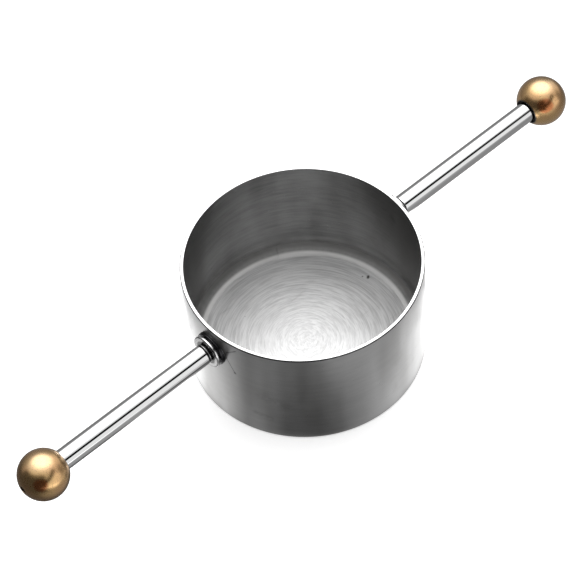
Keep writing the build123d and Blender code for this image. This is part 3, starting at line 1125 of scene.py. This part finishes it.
# Bearings and how bright polished metal sees the floor there.
floorSeen = {
    "besideCup": (
        (-90, 3.4), (-68, 2.4), (-57, 1.8), (-50, 1.5), (-43, 1.15), (-38, 0.72), (-33, 0.42),
        (-27, 0.38), (-20, 0.26), (-13, 0.12), (-5, 0.09), (5, 0.11), (14, 0.22), (25, 0.41),
        (39, 0.80), (50, 1.25), (60, 1.75), (90, 3.4),
    ),
    "middle": (
        (-180, 0.26), (-110, 0.26), (-85, 0.10), (-45, 0.08), (-32, 0.30), (8, 0.33), (18, 0.58),
        (50, 0.42), (100, 0.26), (180, 0.26),
    ),
    "far": (
        (-180, 0.2), (-120, 0.15), (-90, 0.06), (-20, 0.05), (0, 0.65), (12, 1.9), (45, 0.95),
        (70, 0.45), (100, 0.2), (130, 0.14), (180, 0.2),
    ),
}
floorRings = {
    "foot": 1.3 * millimetre,       # a calm ring round the cup's foot
    "footShare": 0.7,
    "footLevel": 0.42,
    "middleFrom": (41 * millimetre, 48 * millimetre),
    "farFrom": (90 * millimetre, 130 * millimetre),
    "behind": (122.0, 150.0, 0.85),     # bearings over which the ring by the cup darkens, and how far
    "beside": (75.0, 95.0),             # bearings over which that ring narrows
    "narrower": 4 * millimetre,
}


def strengthRamp(tree, value, reach, stops):
    # Reads a table of (value, strength) that runs from -reach to reach.
    made = addNode(tree, "ShaderNodeValToRGB")
    feed(tree, made.inputs[0], calc(tree, "MULTIPLY_ADD", value, 0.5 / reach, 0.5, clamp=True))
    for count, (place, strength) in enumerate(stops):
        position = (place + reach) / (2 * reach)
        elements = made.color_ramp.elements
        stop = elements[count] if count < 2 else elements.new(position)
        stop.position = position
        stop.color = grey(strength)
    return made.outputs[0]


def bearingOf(tree, direction):
    # Degrees round the cup, 0 toward the viewer and positive to the right.
    front = calc(tree, "MULTIPLY", vectorCalc(tree, "DOT_PRODUCT", direction, tuple(backward)), -1.0)
    side = vectorCalc(tree, "DOT_PRODUCT", direction, tuple(rightward))
    return calc(tree, "MULTIPLY", calc(tree, "ARCTAN2", side, front), 180 / math.pi)


def floorReflection(tree):
    # What polished metal sees of the floor. Close to the cup it follows facing, the bearing of the
    # piece of wall that mirrors that spot: bearing * near / (2 near - cup radius). Further out it
    # follows the spot's own bearing.
    place = addNode(tree, "ShaderNodeTexCoord").outputs["Object"]
    near = vectorCalc(tree, "LENGTH", place)
    bearing = bearingOf(tree, place)
    turn = calc(tree, "ABSOLUTE", bearing)
    facing = calc(tree, "DIVIDE", near, calc(tree, "MULTIPLY_ADD", near, 2.0, -cupRadius))
    facing = calc(tree, "MULTIPLY", bearing, facing)
    seen = strengthRamp(tree, facing, 90.0, floorSeen["besideCup"])
    middle = strengthRamp(tree, bearing, 180.0, floorSeen["middle"])
    far = strengthRamp(tree, bearing, 180.0, floorSeen["far"])
    behindFrom, behindTo, darkening = floorRings["behind"]
    seen = blendColor(tree, ramp(tree, turn, behindFrom, behindTo, 0.0, darkening), seen, grey(0.0))
    narrower = ramp(tree, turn, *floorRings["beside"], 0.0, floorRings["narrower"])
    reached = calc(tree, "ADD", near, narrower)
    seen = blendColor(tree, ramp(tree, reached, *floorRings["middleFrom"]), seen, middle)
    seen = blendColor(tree, ramp(tree, near, *floorRings["farFrom"]), seen, far)
    foot = ramp(tree, near, cupRadius, cupRadius + floorRings["foot"], 1.0, 0.0)
    foot = calc(tree, "MULTIPLY", foot, floorRings["footShare"])
    return blendColor(tree, foot, seen, grey(floorRings["footLevel"]))


def makeFloor():
    size = 3.0
    mesh = bpy.data.meshes.new("floor")
    corners = [(-size, -size, 0.0), (size, -size, 0.0), (size, size, 0.0), (-size, size, 0.0)]
    mesh.from_pydata(corners, [], [(0, 1, 2, 3)])
    floor = bpy.data.objects.new("floor", mesh)
    bpy.context.scene.collection.objects.link(floor)
    material = bpy.data.materials.new("paleFloor")
    material.use_nodes = True
    tree = material.node_tree
    tree.nodes.clear()
    seen = floorReflection(tree)
    matte = addNode(tree, "ShaderNodeBsdfDiffuse")
    matte.inputs[0].default_value = studio["floor"]
    lift = addNode(tree, "ShaderNodeEmission")
    lift.inputs["Color"].default_value = studio["floor"]
    lift.inputs["Strength"].default_value = studio["floorLift"]
    pale = addNode(tree, "ShaderNodeAddShader")
    feed(tree, pale.inputs[0], matte.outputs[0])
    feed(tree, pale.inputs[1], lift.outputs[0])
    glow = addNode(tree, "ShaderNodeEmission")
    feed(tree, glow.inputs["Color"], seen)
    ray = addNode(tree, "ShaderNodeLightPath")
    mixed = addNode(tree, "ShaderNodeMixShader")
    feed(tree, mixed.inputs[0], ray.outputs["Is Glossy Ray"])
    feed(tree, mixed.inputs[1], pale.outputs[0])
    feed(tree, mixed.inputs[2], glow.outputs[0])
    out = addNode(tree, "ShaderNodeOutputMaterial")
    feed(tree, out.inputs["Surface"], mixed.outputs[0])
    mesh.materials.append(material)


def addPanel(tree, light, rise, bearing, panel):
    mask = ramp(tree, rise, *panel["top"], 1.0, 0.0)
    mask = calc(tree, "MULTIPLY", mask, ramp(tree, bearing, *panel["start"]))
    mask = calc(tree, "MULTIPLY", mask, ramp(tree, bearing, *panel["end"], 1.0, 0.0))
    return blendColor(tree, mask, light, grey(panel["strength"]))


def addBackPanel(tree, light, rise, bearing, panel):
    # It runs on past the bearing where right turns into left.
    turned = ramp(tree, bearing, *panel["leftOf"], 1.0, 0.0)
    turned = calc(tree, "ADD", turned, ramp(tree, bearing, *panel["rightOf"]))
    mask = calc(tree, "MULTIPLY", ramp(tree, rise, *panel["top"], 1.0, 0.0), turned)
    return blendColor(tree, mask, light, grey(panel["strength"]))


def addSeam(tree, light, rise, bearing):
    past = calc(tree, "SUBTRACT", bearing, darkSeam["climbFrom"])
    past = calc(tree, "MINIMUM", past, darkSeam["climbOver"])
    height = calc(tree, "MULTIPLY_ADD", past, darkSeam["climb"], darkSeam["height"])
    away = calc(tree, "ABSOLUTE", calc(tree, "SUBTRACT", rise, height))
    mask = ramp(tree, away, *darkSeam["halfWidth"], 1.0, 0.0)
    mask = calc(tree, "MULTIPLY", mask, ramp(tree, bearing, *darkSeam["start"]))
    mask = calc(tree, "MULTIPLY", mask, ramp(tree, bearing, *darkSeam["end"], 1.0, 0.0))
    return blendColor(tree, mask, light, grey(0.0))


def makeWorld():
    # A white tent of light, brightest behind and overhead, open and dark on the viewer's left,
    # with one dark seam running off to the right.
    world = bpy.data.worlds.new("studio")
    world.use_nodes = True
    tree = world.node_tree
    tree.nodes.clear()
    toward = addNode(tree, "ShaderNodeTexCoord").outputs["Generated"]
    degrees = 180 / math.pi
    rise = calc(tree, "MULTIPLY", calc(tree, "ARCSINE", split(tree, toward)[2]), degrees)
    bearing = bearingOf(tree, toward)
    height = math.radians(studio["mainHeight"])
    main = backward * math.cos(height) + upward * math.sin(height)
    away = calc(tree, "ARCCOSINE", vectorCalc(tree, "DOT_PRODUCT", toward, tuple(main)))
    away = calc(tree, "MULTIPLY", away, degrees)
    light = ramp(tree, away, *studio["mainFade"], studio["main"], studio["mainEdge"])
    fade = ramp(tree, away, *studio["tentFade"], 0.0, studio["tent"] - studio["mainEdge"])
    light = calc(tree, "ADD", light, fade)
    light = addPanel(tree, light, rise, bearing, panels["right"])
    light = addPanel(tree, light, rise, bearing, panels["rightGap"])
    light = addBackPanel(tree, light, rise, bearing, panels["back"])
    leftward = calc(tree, "MINIMUM", calc(tree, "SUBTRACT", bearing, openingSlope["from"]), 0.0)
    sunk = calc(tree, "MULTIPLY_ADD", leftward, -openingSlope["perDegree"], rise)
    light = addPanel(tree, light, sunk, bearing, panels["opening"])
    light = addSeam(tree, light, rise, bearing)
    ray = addNode(tree, "ShaderNodeLightPath")
    light = blendColor(tree, ray.outputs["Is Camera Ray"], light, studio["backdrop"])
    glow = addNode(tree, "ShaderNodeBackground")
    feed(tree, glow.inputs["Color"], light)
    out = addNode(tree, "ShaderNodeOutputWorld")
    feed(tree, out.inputs["Surface"], glow.outputs[0])
    bpy.context.scene.world = world


makeFloor()
makeWorld()
bpy.context.scene.view_settings.view_transform = "Standard"
print("studio lit")
